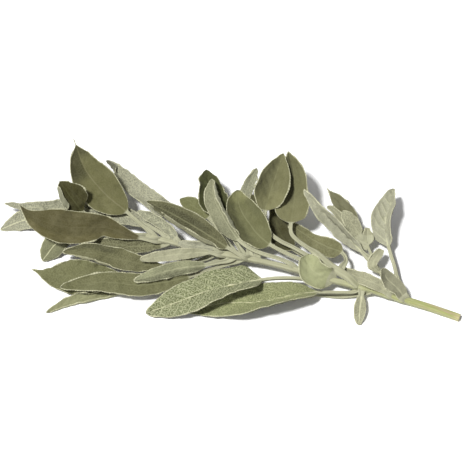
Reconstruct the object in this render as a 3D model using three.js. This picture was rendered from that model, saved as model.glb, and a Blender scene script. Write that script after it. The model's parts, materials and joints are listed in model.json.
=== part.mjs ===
// A sprig of common sage, cut and laid on a flat surface. Millimetres, +Z up.
// The cut end of the main stem points to +X and the leafy shoots spread towards -X.

import * as THREE from 'three';

// Driving dimensions
const gap = 0.3; // left between a leaf stalk and the stem that it grows from
const stemSides = 8;
const stemFlat = 0.94; // a stem's reach at the middle of its flat sides, as a share of its radius
const stemCorner = 1.06; // and at its rounded corners
const stemStep = 6; // along a stem, between two sections
const stalkStep = 5; // along a leaf stalk, between two sections
const stalkRadius = 0.9; // where a leaf stalk leaves the stem
const stalkGroove = 0.35; // the height of the bottom of the groove on a stalk, in stalk radii
const bladeThickness = 0.7;
const bladeArch = 0.06; // the rise of each half of the blade, as a share of its half width
const ribDepth = 0.45; // how far the midrib stands out below the blade, at the blade's base
const usualOutline = { widest: 0.42, base: 0.75, tip: 0.75 };
const usuallyFlatBy = 0.25; // where the stalk's section has become a blade, along the blade
const bladeStations = [ 0, 0.07, 0.17, 0.29, 0.42, 0.55, 0.68, 0.8, 0.9, 0.97 ];

// Stems: a route along the middle, and the diameter at the lower and upper end
const stems = [
	{ name: 'main_stem', diameters: [ 3.2, 2.1 ], route: [
		[ 95.5, - 41.5, 1.55 ], [ 83, - 37, 2.4 ], [ 71.5, - 33.5, 3.4 ], [ 59.5, - 30, 4.5 ],
		[ 49, - 27.5, 5.5 ], [ 36.5, - 24.5, 6.5 ], [ 22, - 20, 7 ], [ 6.5, - 16.5, 8 ],
		[ - 3, - 15, 9 ], [ - 13, - 13.5, 9 ], [ - 26, - 9.5, 9.5 ], [ - 38.5, - 6, 9.5 ] ] },
	{ name: 'upper_shoot_stem', diameters: [ 3.5, 2.6 ],
		route: [ [ 48.5, - 26, 8.6 ], [ 44.5, - 23.5, 9.6 ], [ 40.5, - 21, 10.6 ], [ 35.5, - 17, 12 ] ] },
	{ name: 'right_shoot_stem', diameters: [ 2, 1.2 ],
		route: [ [ 69, - 29, 4.2 ], [ 64.5, - 24.5, 4.8 ], [ 60, - 17.5, 5.6 ], [ 57.5, - 10.5, 6.4 ],
			[ 55.5, - 6, 7.2 ] ] },
];

// Leaves, in groups by the shoot that they grow on. A route starts at the stem and ends at the
// leaf's tip, and the blade begins at the route's point numbered stalk. faces is the way that
// the upper side looks, and tipFaces the way that it looks at the tip, where that differs: the
// blade turns between the two places along it that twist gives. fold raises both halves of the
// blade by that many degrees. outline says how far along the blade it is widest, and how slender
// it gets towards its base and tip: above 1 the sides are hollow.
const leaves = [
	// Right shoot
	{ name: 'right_leaf_1', tone: 'pale', width: 12.5, stalk: 2, fold: 40, faces: [ - 0.5, - 0.6, 0.6 ],
		route: [ [ 70, - 28.5, 4 ], [ 68.5, - 19.5, 5.5 ], [ 66, - 9.5, 7 ], [ 65.2, 1.5, 9 ],
			[ 67.3, 9.5, 10 ], [ 68.8, 17, 11 ] ] },
	{ name: 'right_leaf_2', tone: 'pale', width: 3.6, stalk: 1, fold: 20, faces: [ 0, - 0.6, 0.8 ],
		route: [ [ 60.5, - 17.5, 6 ], [ 59.5, - 12, 7 ], [ 57.5, - 8, 7.5 ], [ 57, - 1, 8 ] ] },
	{ name: 'right_leaf_3', tone: 'pale', width: 6.5, stalk: 1, fold: 10, faces: [ 0, - 0.5, 0.9 ],
		route: [ [ 55.5, - 8.5, 7 ], [ 53.5, - 4.5, 8 ], [ 50.5, 0.5, 9 ], [ 46.5, 6, 10 ] ] },
	{ name: 'right_leaf_4', tone: 'dark', width: 7, stalk: 1, fold: 20, faces: [ 0.2, - 0.5, 0.9 ],
		outline: { widest: 0.4, tip: 1.2 },
		route: [ [ 57, - 8, 7 ], [ 52.5, 2.2, 7 ], [ 46.5, 10.1, 7.4 ], [ 41, 17.8, 7.9 ] ] },
	{ name: 'right_leaf_5', tone: 'pale', width: 7.5, stalk: 1, fold: 35, faces: [ - 0.4, - 0.6, 0.7 ],
		route: [ [ 59.5, - 17, 5.5 ], [ 54.5, - 12.5, 7.5 ], [ 46.5, - 5, 11.5 ], [ 37, 1.5, 18.8 ],
			[ 29.5, 8, 25.3 ] ] },
	{ name: 'right_leaf_6', tone: 'pale', width: 3, stalk: 1, fold: 20, faces: [ 0, - 0.5, 0.9 ],
		route: [ [ 55.5, - 9.5, 7 ], [ 49.5, - 2.5, 7 ], [ 44, 6.5, 8 ], [ 40, 10, 8 ] ] },
	{ name: 'right_leaf_7', tone: 'pale', width: 4, stalk: 0, fold: 20, faces: [ - 0.3, - 0.6, 0.7 ],
		route: [ [ 61.5, - 21.5, 5.6 ], [ 59, - 19, 7.8 ], [ 63, - 12, 8.6 ] ] },
	{ name: 'right_leaf_8', tone: 'pale', width: 7, stalk: 0, fold: 20, faces: [ 0.3, - 0.5, 0.8 ],
		route: [ [ 72, - 34, 5.8 ], [ 68.5, - 30, 7.6 ], [ 65, - 26.5, 8.4 ], [ 63, - 21.5, 9 ] ] },

	// Upper shoot
	{ name: 'upper_leaf_1', width: 13.5, stalk: 6, fold: 12, faces: [ 0, - 0.6, 0.8 ],
		outline: { widest: 0.38, base: 0.55, tip: 0.95 },
		route: [ [ 35, - 18, 10.2 ], [ 28, - 14.3, 10.8 ], [ 23.5, - 11.6, 11.2 ], [ 19, - 9.3, 11.6 ],
			[ 15.5, - 6.4, 12.2 ], [ 13.6, - 3.2, 13.7 ], [ 12.9, 2.4, 16.7 ], [ 14.3, 7, 19.5 ],
			[ 16.2, 12.7, 21.6 ], [ 20.8, 26, 25.5 ] ] },
	{ name: 'upper_leaf_2', width: 15, stalk: 3, fold: 20, faces: [ - 0.2, - 0.6, 0.8 ],
		outline: { widest: 0.28, base: 0.4, tip: 0.85 },
		route: [ [ 36, - 16.5, 11 ], [ 28.5, - 11.5, 13 ], [ 24.5, - 8, 13.5 ], [ 24, - 2.5, 14.5 ],
			[ 25.5, 7.5, 17.5 ], [ 25.5, 18, 21 ], [ 23, 27.5, 24.5 ] ] },
	{ name: 'upper_leaf_3', tone: 'dark', width: 10, stalk: 2, fold: 15, faces: [ 0.2, - 0.5, 0.8 ],
		route: [ [ 38.5, - 20, 9.6 ], [ 31, - 15.5, 7.9 ], [ 25, - 11, 7.2 ], [ 19.5, - 3.5, 7.4 ],
			[ 17, 5.5, 8 ] ] },
	{ name: 'upper_leaf_4', width: 9.5, stalk: 2, fold: 10, faces: [ 0.1, - 0.5, 0.9 ],
		outline: { widest: 0.35, base: 0.45, tip: 0.75 },
		route: [ [ 45.5, - 22, 10.4 ], [ 47.5, - 17.5, 9.6 ], [ 45.8, - 14, 9.3 ], [ 40, - 11.3, 9.2 ],
			[ 34.5, - 8.2, 9.2 ], [ 28.5, - 4, 9.5 ], [ 23, 0.5, 9.8 ] ] },
	{ name: 'upper_leaf_5', width: 14, stalk: 3, fold: 12, faces: [ 0, - 0.5, 0.9 ],
		tipFaces: [ 0, - 0.2, 1 ], outline: { widest: 0.42, base: 0.5, tip: 0.75 },
		route: [ [ 39, - 22, 9.5 ], [ 29, - 18.5, 10.5 ], [ 22, - 15.3, 11 ], [ 15, - 11.6, 12 ],
			[ 10, - 7.1, 12.4 ], [ 6.4, - 2.2, 13.1 ], [ 3.4, 2.3, 14 ], [ 1.6, 7.1, 14.9 ],
			[ 1.2, 13.7, 15.4 ] ] },
	{ name: 'upper_leaf_6', tone: 'pale', width: 6, stalk: 1, fold: 15, faces: [ 0, - 0.4, 0.9 ],
		route: [ [ 6.5, - 15.7, 8.8 ], [ 5, - 4, 9.2 ], [ 4, 11.5, 10.6 ], [ 9.5, 26.5, 12.5 ] ] },
	{ name: 'upper_leaf_7', tone: 'dark', width: 4, stalk: 1, fold: 15, faces: [ 0, - 0.4, 0.9 ],
		route: [ [ 9.5, - 16, 8.6 ], [ 9, 2.5, 10.4 ], [ 7.5, 13, 12.4 ] ] },
	{ name: 'upper_leaf_8', tone: 'pale', width: 10.5, stalk: 4, fold: 30, faces: [ - 0.3, - 0.5, 0.8 ],
		route: [ [ 26, - 20.8, 8.6 ], [ 21, - 18.2, 9.8 ], [ 14, - 16, 10.6 ], [ 7.5, - 13.5, 11 ],
			[ 1.5, - 9.5, 12.5 ], [ - 4, - 1, 14.5 ], [ - 8.5, 7.5, 16.5 ], [ - 10, 17.5, 18 ] ] },
	{ name: 'upper_leaf_9', tone: 'dark', width: 13, stalk: 1, fold: 15, faces: [ 0.3, - 0.4, 0.8 ],
		route: [ [ 4, - 15.5, 9 ], [ - 4, - 1.5, 11 ], [ - 10.5, 12.5, 13 ], [ - 12.5, 25, 14 ] ] },
	{ name: 'upper_leaf_10', width: 7.5, stalk: 1, fold: 10, faces: [ 0, - 0.4, 0.9 ],
		route: [ [ - 1, - 13, 9.8 ], [ - 11.5, 3.5, 9.2 ], [ - 19.5, 10, 9.4 ], [ - 24, 12.5, 9.6 ] ] },
	{ name: 'upper_leaf_11', width: 10.5, stalk: 1, fold: 10, faces: [ 0.1, - 0.5, 0.8 ],
		route: [ [ 4, - 17, 10.6 ], [ - 3, - 13.5, 12.6 ], [ - 13, - 7, 14 ], [ - 24.5, 0.5, 14.6 ],
			[ - 38, 8.5, 14.6 ] ] },
	{ name: 'back_leaf', tone: 'pale', width: 8, stalk: 1, fold: 15, faces: [ 0, - 0.3, 1 ],
		route: [ [ - 3, - 13, 8.8 ], [ - 14, - 3.5, 9 ], [ - 26.5, 4.6, 9.7 ], [ - 39.5, 14.3, 10 ],
			[ - 49, 24.8, 8.5 ], [ - 57, 38, 0.3 ] ] },

	// Fork of the stems
	{ name: 'fork_leaf_1', tone: 'pale', width: 11, stalk: 0, fold: 25, faces: [ 0, - 0.6, 0.7 ],
		route: [ [ 41.5, - 26, 7.5 ], [ 37, - 25.5, 10 ], [ 32.5, - 23.5, 12 ], [ 31.5, - 16.5, 12.5 ] ] },
	{ name: 'fork_leaf_2', tone: 'pale', width: 5.5, stalk: 0, fold: 15, faces: [ 0, - 0.5, 0.9 ],
		route: [ [ 67, - 32.5, 6 ], [ 59.5, - 28.5, 8.2 ], [ 49.5, - 23.5, 7.2 ], [ 42, - 20, 6.4 ] ] },
	{ name: 'fork_leaf_3', tone: 'pale', width: 5, stalk: 1, fold: 10, faces: [ 0, - 0.6, 0.8 ],
		route: [ [ 54, - 30, 5.5 ], [ 53.7, - 33, 5.2 ], [ 53, - 39, 3.4 ], [ 52.5, - 44, 0.3 ] ] },

	// Left shoot
	{ name: 'left_leaf_1', tone: 'brown', width: 17.5, stalk: 2, fold: 12, faces: [ 0, - 0.5, 0.9 ],
		outline: { widest: 0.4, base: 0.7, tip: 1 },
		route: [ [ - 33, - 8, 10.8 ], [ - 41, - 0.7, 11.5 ], [ - 46.5, 4.6, 12 ], [ - 55.7, 12.6, 13 ],
			[ - 64.7, 24, 14.5 ], [ - 69.5, 36.3, 16 ] ] },
	{ name: 'left_leaf_2', tone: 'dark', width: 14, stalk: 2, fold: 20, faces: [ 0.2, - 0.6, 0.8 ],
		outline: { widest: 0.52, base: 1, tip: 0.6 },
		route: [ [ - 38, - 7, 10 ], [ - 53.5, - 2.5, 10.5 ], [ - 65.5, 4, 13.2 ], [ - 69.2, 6.8, 17.2 ],
			[ - 72.2, 9.8, 20 ], [ - 75.6, 14, 22 ] ] },
	{ name: 'left_leaf_3', tone: 'pale', width: 9.5, stalk: 1, fold: 10, faces: [ 0, - 0.4, 0.9 ],
		outline: { widest: 0.4, tip: 1.3 },
		route: [ [ - 25.5, - 10, 10.2 ], [ - 36.5, - 1, 9.2 ], [ - 49.5, 5.5, 8.2 ], [ - 65, 8.2, 8 ],
			[ - 82.5, 8.8, 8 ], [ - 92, 9.6, 8 ], [ - 100, 11.3, 8 ] ] },
	{ name: 'left_leaf_4', tone: 'brown', width: 14.5, stalk: 1, fold: 10, faces: [ 0, - 0.5, 0.9 ],
		outline: { widest: 0.58, base: 1.2, tip: 1.15 },
		route: [ [ - 33.5, - 9, 10.6 ], [ - 40.5, - 8, 11.4 ], [ - 47.5, - 6.2, 12 ], [ - 55.5, - 3.5, 12.6 ],
			[ - 67.5, - 4, 13.2 ], [ - 79.5, - 2, 13.6 ], [ - 87.5, 2, 13.8 ], [ - 93, 7.5, 13.6 ] ] },
	{ name: 'left_leaf_5', tone: 'pale', width: 11, stalk: 2, fold: 10, faces: [ 0, - 0.3, 1 ],
		route: [ [ - 38, - 7, 8 ], [ - 47, - 3, 6.5 ], [ - 63, 2.5, 6 ], [ - 80.5, 6.2, 4.5 ],
			[ - 92.5, 5.8, 2.5 ], [ - 102, 2.5, 0.2 ] ] },
	{ name: 'left_leaf_6', width: 10, stalk: 2, fold: 15, faces: [ 0, - 0.4, 0.9 ],
		outline: { widest: 0.55, base: 1.3, tip: 0.7 },
		route: [ [ - 35.5, - 8, 7.5 ], [ - 54, - 8, 6 ], [ - 68, - 4.5, 5.5 ], [ - 76.5, - 6, 4 ],
			[ - 83, - 13, 0.7 ] ] },
	{ name: 'left_leaf_7', width: 9.5, stalk: 1, fold: 15, faces: [ 0, - 0.4, 0.9 ],
		outline: { widest: 0.5, base: 1.3 },
		route: [ [ - 16, - 14, 8 ], [ - 28.5, - 20.4, 8.5 ], [ - 40.5, - 19.3, 9 ],
			[ - 53.5, - 16.1, 9 ], [ - 64.5, - 13.4, 9 ], [ - 74, - 13, 8 ] ] },
	{ name: 'left_leaf_8', width: 15, stalk: 2, fold: 10, faces: [ 0, - 0.3, 1 ],
		outline: { widest: 0.53, base: 0.8, tip: 1.4 },
		route: [ [ - 11.5, - 15, 7 ], [ - 30, - 22, 4.5 ], [ - 46, - 24.5, 4.5 ], [ - 60, - 23.7, 4 ],
			[ - 72.5, - 22.2, 3 ], [ - 80.5, - 20.3, 2 ], [ - 87, - 17.5, 0.5 ] ] },
	{ name: 'left_leaf_9', width: 10, stalk: 2, fold: 12, faces: [ 0, - 0.3, 1 ],
		route: [ [ 0, - 17, 6.6 ], [ - 9.5, - 20.5, 6.5 ], [ - 19, - 24, 6.5 ], [ - 30, - 27, 6.5 ],
			[ - 41, - 28.5, 6.5 ], [ - 53.5, - 27, 6.5 ], [ - 64, - 27.5, 6.3 ], [ - 74.5, - 29, 5.5 ] ] },
	{ name: 'left_leaf_10', width: 6.5, stalk: 1, fold: 15, faces: [ 0, - 0.3, 1 ],
		route: [ [ - 6, - 15.5, 6 ], [ - 32, - 23.5, 1.6 ], [ - 47, - 26.5, 1.1 ], [ - 60, - 30.5, 1 ],
			[ - 70.5, - 33.5, 0.8 ], [ - 80.5, - 38.5, 0.5 ] ] },
	{ name: 'left_leaf_11', tone: 'pale', width: 6.5, stalk: 1, fold: 15, faces: [ 0, - 0.5, 0.9 ],
		route: [ [ - 2, - 17, 8.3 ], [ - 12.5, - 20, 9.2 ], [ - 24.5, - 22, 9.5 ],
			[ - 36, - 25.5, 9.5 ], [ - 43, - 27.5, 9 ] ] },
	{ name: 'left_leaf_12', tone: 'pale', width: 5, stalk: 1, fold: 15, faces: [ 0, - 0.5, 0.9 ],
		outline: { widest: 0.5, tip: 0.55 },
		route: [ [ - 5.5, - 16, 10.5 ], [ - 11, - 15.5, 12 ], [ - 23.5, - 16.5, 12.5 ],
			[ - 33.5, - 18, 12.5 ], [ - 40.5, - 18.5, 11.5 ] ] },
	{ name: 'left_leaf_13', tone: 'pale', width: 5, stalk: 0, fold: 15, faces: [ 0, - 0.5, 0.9 ],
		route: [ [ - 9, - 12.5, 11 ], [ - 17, - 12, 11.1 ], [ - 24.5, - 10.4, 11.3 ] ] },
	{ name: 'left_leaf_14', tone: 'pale', width: 6, stalk: 0, fold: 15, faces: [ 0, - 0.5, 0.9 ],
		route: [ [ - 25.5, - 8, 11.2 ], [ - 28.5, - 4, 11.5 ], [ - 34, 0.5, 12 ], [ - 42, 4.5, 12.8 ] ] },
	{ name: 'left_leaf_15', width: 6, stalk: 0, fold: 15, faces: [ 0, - 0.4, 0.9 ],
		route: [ [ - 31.5, - 9.5, 8 ], [ - 44.5, - 10, 7.6 ], [ - 53, - 8.5, 7.4 ],
			[ - 61.5, - 7.5, 7.2 ] ] },

	// Front, lying low
	{ name: 'front_leaf_1', width: 16.5, stalk: 2, fold: 20, faces: [ 0, 0.5, 1 ],
		tipFaces: [ 0, - 0.45, 1 ], twist: [ 0.3, 0.8 ], flatBy: 0.1,
		outline: { widest: 0.4, base: 0.55, tip: 0.75 },
		route: [ [ 54, - 30, 4 ], [ 45, - 31, 5 ], [ 35, - 32, 6.8 ], [ 27.5, - 34, 7.9 ],
			[ 17.5, - 36.3, 7.9 ], [ 6.5, - 37.2, 6.5 ], [ - 4.5, - 35.9, 4.4 ], [ - 21.5, - 38, 1 ] ] },
	{ name: 'front_leaf_2', tone: 'pale', width: 18.5, stalk: 4, fold: 23, faces: [ 0, 0.52, 1 ],
		tipFaces: [ 0, - 0.45, 1 ], twist: [ 0.1, 0.9 ], flatBy: 0.1,
		outline: { widest: 0.3, base: 0.35, tip: 0.65 },
		route: [ [ 42.5, - 26, 6 ], [ 33.5, - 26.5, 8 ], [ 25, - 26.5, 9.5 ], [ 17.5, - 26.8, 10 ],
			[ 11.5, - 27.6, 10 ], [ 2.2, - 30.1, 10.3 ], [ - 6, - 31.8, 9.9 ], [ - 16, - 34.1, 8.2 ],
			[ - 26, - 36.4, 4.8 ], [ - 38, - 39, 0.8 ] ] },
	{ name: 'front_leaf_3', width: 7, stalk: 2, fold: 5, faces: [ 0, 0, 1 ],
		route: [ [ 57, - 30, 3 ], [ 46, - 31.3, 2 ], [ 35, - 30, 1.3 ], [ 23.5, - 29.5, 1.1 ],
			[ 2, - 33.5, 0.8 ] ] },
];

const stemRoughness = 0.7;
const leafRoughness = 0.9;
const stemColor = new THREE.Color( 0.56, 0.56, 0.28 );
const leafColors = {
	olive: new THREE.Color( 0.2, 0.2, 0.1 ),
	pale: new THREE.Color( 0.42, 0.42, 0.28 ),
	dark: new THREE.Color( 0.08, 0.09, 0.03 ),
	brown: new THREE.Color( 0.15, 0.12, 0.06 ),
};

function routeCurve( route ) {

	const points = route.map( ( point ) => new THREE.Vector3( ...point ) );
	return new THREE.CatmullRomCurve3( points, false, 'centripetal' );

}

// The fraction of the curve's length at which it passes a given point of its route
function fractionAt( curve, index ) {

	const perSpan = 20;
	const lengths = curve.getLengths( ( curve.points.length - 1 ) * perSpan );
	return lengths[ index * perSpan ] / lengths.at( - 1 );

}

// A closed skin over a row of rings with equal counts, drawn to a point at each end
function skin( rings, start, end ) {

	const count = rings[ 0 ].length;
	const positions = [ start, ...rings.flat(), end ].flatMap( ( point ) => point.toArray() );
	const last = positions.length / 3 - 1;
	const indices = [];

	for ( let side = 0; side < count; side ++ ) {

		const next = ( side + 1 ) % count;
		indices.push( 0, 1 + next, 1 + side );

		for ( let ring = 0; ring < rings.length - 1; ring ++ ) {

			const near = 1 + ring * count;
			const far = near + count;
			indices.push( near + side, near + next, far + next );
			indices.push( near + side, far + next, far + side );

		}

		const top = 1 + ( rings.length - 1 ) * count;
		indices.push( top + side, top + next, last );

	}

	const geometry = new THREE.BufferGeometry();
	geometry.setAttribute( 'position', new THREE.Float32BufferAttribute( positions, 3 ) );
	geometry.setIndex( indices );
	return geometry;

}

// Places a flat section at a point of a curve: its x to the side, its y the way that faces looks
function placeSection( curve, fraction, faces, section ) {

	const middle = curve.getPointAt( fraction );
	const along = curve.getTangentAt( fraction );
	const up = faces.clone().addScaledVector( along, - faces.dot( along ) ).normalize();
	const across = new THREE.Vector3().crossVectors( along, up );
	return section.map( ( [ x, y ] ) =>
		middle.clone().addScaledVector( across, x ).addScaledVector( up, y ) );

}

// Sage stems are square in section with rounded corners
function stemSection( radius ) {

	return Array.from( { length: stemSides }, ( _, side ) => {

		const angle = - side / stemSides * Math.PI * 2;
		const reach = radius * ( side % 2 === 0 ? stemFlat : stemCorner );
		return [ Math.cos( angle ) * reach, Math.sin( angle ) * reach ];

	} );

}

function stemShape( { route, diameters } ) {

	const curve = routeCurve( route );
	const steps = Math.round( curve.getLength() / stemStep );
	const up = new THREE.Vector3( 0, 0, 1 );
	const radiusAt = ( fraction ) => THREE.MathUtils.lerp( ...diameters, fraction ) / 2;
	const rings = Array.from( { length: steps + 1 }, ( _, step ) =>
		placeSection( curve, step / steps, up, stemSection( radiusAt( step / steps ) ) ) );
	return { curve, radiusAt, geometry: skin( rings, curve.getPointAt( 0 ), curve.getPointAt( 1 ) ) };

}

// True where every point keeps its gap to every stem
function clearOfStems( points, stemShapes ) {

	const samples = 80;
	return stemShapes.every( ( { curve, radiusAt } ) => {

		return curve.getSpacedPoints( samples ).every( ( centre, sample ) => {

			const reach = radiusAt( sample / samples ) * stemCorner + gap;
			return points.every( ( point ) => point.distanceTo( centre ) > reach );

		} );

	} );

}

// A leaf's section, from its left edge over the top to its right edge and back below. blade is
// 0 on the stalk, which has a groove along its top, and 1 on the blade, which has a midrib below.
function leafSection( halfWidth, blade, fold, rib ) {

	const stalk = [ [ - 1, 0 ], [ - 0.7, 0.7 ], [ 0, stalkGroove ], [ 0.7, 0.7 ], [ 1, 0 ], [ 0.7, - 0.7 ],
		[ 0, - 1 ], [ - 0.7, - 0.7 ] ].map( ( [ x, y ] ) => [ x * halfWidth, y * stalkRadius ] );
	const half = bladeThickness / 2;
	const arch = bladeArch * halfWidth;
	const out = Math.cos( fold ) * halfWidth;
	const rise = Math.sin( fold ) * halfWidth;
	const flat = [ [ - out, rise ], [ - out / 2, rise / 2 + arch + half ], [ 0, half ],
		[ out / 2, rise / 2 + arch + half ], [ out, rise ], [ out / 2, rise / 2 + arch - half ],
		[ 0, - half - rib ], [ - out / 2, rise / 2 + arch - half ] ];
	return stalk.map( ( [ x, y ], corner ) => [
		THREE.MathUtils.lerp( x, flat[ corner ][ 0 ], blade ),
		THREE.MathUtils.lerp( y, flat[ corner ][ 1 ], blade ) ] );

}

// How wide the blade is at a fraction of its own length, as a share of its full width
function outlineAt( reach, { widest, base, tip } ) {

	if ( reach < widest ) return Math.pow( Math.sin( Math.PI / 2 * reach / widest ), base );
	return Math.pow( Math.cos( Math.PI / 2 * ( reach - widest ) / ( 1 - widest ) ), tip );

}

// A leaf from its stalk to its tip. Its start is trimmed back until it is clear of the stems.
function leafGeometry( leaf, stemShapes ) {

	const { width, stalk, fold, faces, tipFaces = faces, twist, flatBy = usuallyFlatBy, route } = leaf;
	const outline = { ...usualOutline, ...leaf.outline };

	const curve = routeCurve( route );
	const length = curve.getLength();
	const bladeStart = fractionAt( curve, stalk );
	const foldAngle = THREE.MathUtils.degToRad( fold );
	const baseLooks = new THREE.Vector3( ...faces );
	const tipLooks = new THREE.Vector3( ...tipFaces );

	const ringAt = ( fraction ) => {

		const reach = Math.max( 0, ( fraction - bladeStart ) / ( 1 - bladeStart ) );
		const halfWidth = THREE.MathUtils.lerp( stalkRadius, width / 2, outlineAt( reach, outline ) );
		const blade = THREE.MathUtils.smoothstep( reach, 0, flatBy );
		const section = leafSection( halfWidth, blade, foldAngle, ribDepth * ( 1 - reach ) );
		const turned = twist ? THREE.MathUtils.smoothstep( reach, ...twist ) : reach;
		const looks = baseLooks.clone().lerp( tipLooks, turned );
		return placeSection( curve, fraction, looks, section );

	};

	const trimStep = 0.2 / length;
	let start = 0;
	while ( ! clearOfStems( ringAt( start ), stemShapes ) ) start += trimStep;

	const fractions = [ start ];
	const stalkSpans = Math.max( 1, Math.round( ( bladeStart - start ) * length / stalkStep ) );
	for ( let span = 1; span < stalkSpans; span ++ )
		fractions.push( THREE.MathUtils.lerp( start, bladeStart, span / stalkSpans ) );

	const shortestSpan = 0.5 / length;
	for ( const station of bladeStations ) {

		const fraction = THREE.MathUtils.lerp( bladeStart, 1, station );
		if ( fraction > start + shortestSpan ) fractions.push( fraction );

	}

	return skin( fractions.map( ringAt ), curve.getPointAt( start ), curve.getPointAt( 1 ) );

}

const plant = new THREE.Group();

function addMesh( name, geometry, color, roughness ) {

	geometry.computeVertexNormals();
	const material = new THREE.MeshStandardMaterial( { color, roughness, metalness: 0 } );
	const mesh = new THREE.Mesh( geometry, material );
	mesh.name = name;
	plant.add( mesh );

}

const stemShapes = stems.map( stemShape );
stems.forEach( ( { name }, index ) =>
	addMesh( name, stemShapes[ index ].geometry, stemColor, stemRoughness ) );
for ( const leaf of leaves ) {

	const color = leafColors[ leaf.tone ?? 'olive' ];
	addMesh( leaf.name, leafGeometry( leaf, stemShapes ), color, leafRoughness );

}

// The sprig stands on z = 0, with the middle of its length and breadth at the origin
const bounds = new THREE.Box3().setFromObject( plant );
const middle = bounds.getCenter( new THREE.Vector3() );
plant.position.set( - middle.x, - middle.y, - bounds.min.z );

const group = new THREE.Group();
group.add( plant );

export default group;
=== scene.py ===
import json
import math
import bpy
import numpy as np
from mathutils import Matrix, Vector


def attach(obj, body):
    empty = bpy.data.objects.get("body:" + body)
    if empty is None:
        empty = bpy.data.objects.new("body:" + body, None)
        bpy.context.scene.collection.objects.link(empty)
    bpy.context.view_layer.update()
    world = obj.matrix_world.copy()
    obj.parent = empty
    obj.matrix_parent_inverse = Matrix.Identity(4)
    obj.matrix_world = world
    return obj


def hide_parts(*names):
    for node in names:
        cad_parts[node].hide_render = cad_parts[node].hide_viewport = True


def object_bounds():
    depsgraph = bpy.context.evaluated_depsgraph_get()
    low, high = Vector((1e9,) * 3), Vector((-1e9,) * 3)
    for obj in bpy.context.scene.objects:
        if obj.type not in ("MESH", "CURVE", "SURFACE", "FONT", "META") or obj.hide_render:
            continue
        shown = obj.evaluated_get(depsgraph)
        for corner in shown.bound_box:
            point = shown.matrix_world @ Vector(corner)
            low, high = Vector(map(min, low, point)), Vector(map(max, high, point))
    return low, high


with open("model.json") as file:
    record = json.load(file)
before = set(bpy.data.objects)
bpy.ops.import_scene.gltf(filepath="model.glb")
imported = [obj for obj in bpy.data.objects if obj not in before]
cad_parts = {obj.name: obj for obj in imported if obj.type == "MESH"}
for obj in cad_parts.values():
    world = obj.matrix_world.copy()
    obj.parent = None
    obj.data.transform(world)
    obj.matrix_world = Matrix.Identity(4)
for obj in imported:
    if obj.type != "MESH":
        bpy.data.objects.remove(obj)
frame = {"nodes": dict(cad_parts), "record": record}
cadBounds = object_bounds()
mm = 0.001

slotOf = {part["node"]: part["material_slot"] for part in frame["record"]["subparts"]}
stemNames = sorted(name for name in frame["nodes"] if name.endswith("_stem"))
leafNames = sorted(name for name in frame["nodes"] if name not in stemNames)
print("frame loaded:", len(stemNames), "stems and", len(leafNames), "leaves")


# Camera, light and floor

cameraValues = {"target": (0.003, 0.0031, 0.0), "elevation": 60.0, "distance": 1.0, "lens": 176.2}
lightValues = {
    "keyStrength": 4.0,
    "keyAngle": 8.0,  # the light's own width, which softens the shadows
    "keyTravel": (0.34, 0.22, -1.0),  # the way that its rays go
    "skyStrength": 0.36,
    "skyLean": 0.85,  # how much brighter the sky is to the left than to the right
    "floorColor": (0.95, 0.95, 0.95, 1.0),
    "floorSize": 3.0,
}


def makeCamera(values):
    camera = bpy.data.objects.new("camera", bpy.data.cameras.new("camera"))
    bpy.context.scene.collection.objects.link(camera)
    camera.data.lens = values["lens"]
    camera.data.clip_start = 0.01
    tilt = math.radians(values["elevation"])
    away = Vector((0.0, -math.cos(tilt), math.sin(tilt))) * values["distance"]
    camera.location = Vector(values["target"]) + away
    camera.rotation_euler = (math.pi / 2 - tilt, 0.0, 0.0)
    bpy.context.scene.camera = camera


def makeLight(values):
    key = bpy.data.objects.new("key_light", bpy.data.lights.new("key_light", "SUN"))
    bpy.context.scene.collection.objects.link(key)
    key.data.energy = values["keyStrength"]
    key.data.angle = math.radians(values["keyAngle"])
    key.rotation_euler = Vector(values["keyTravel"]).to_track_quat("-Z", "Y").to_euler()


makeCamera(cameraValues)
makeLight(lightValues)


# Node trees. A Wire is one output socket, and sums of wires add their own Math nodes.

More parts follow.
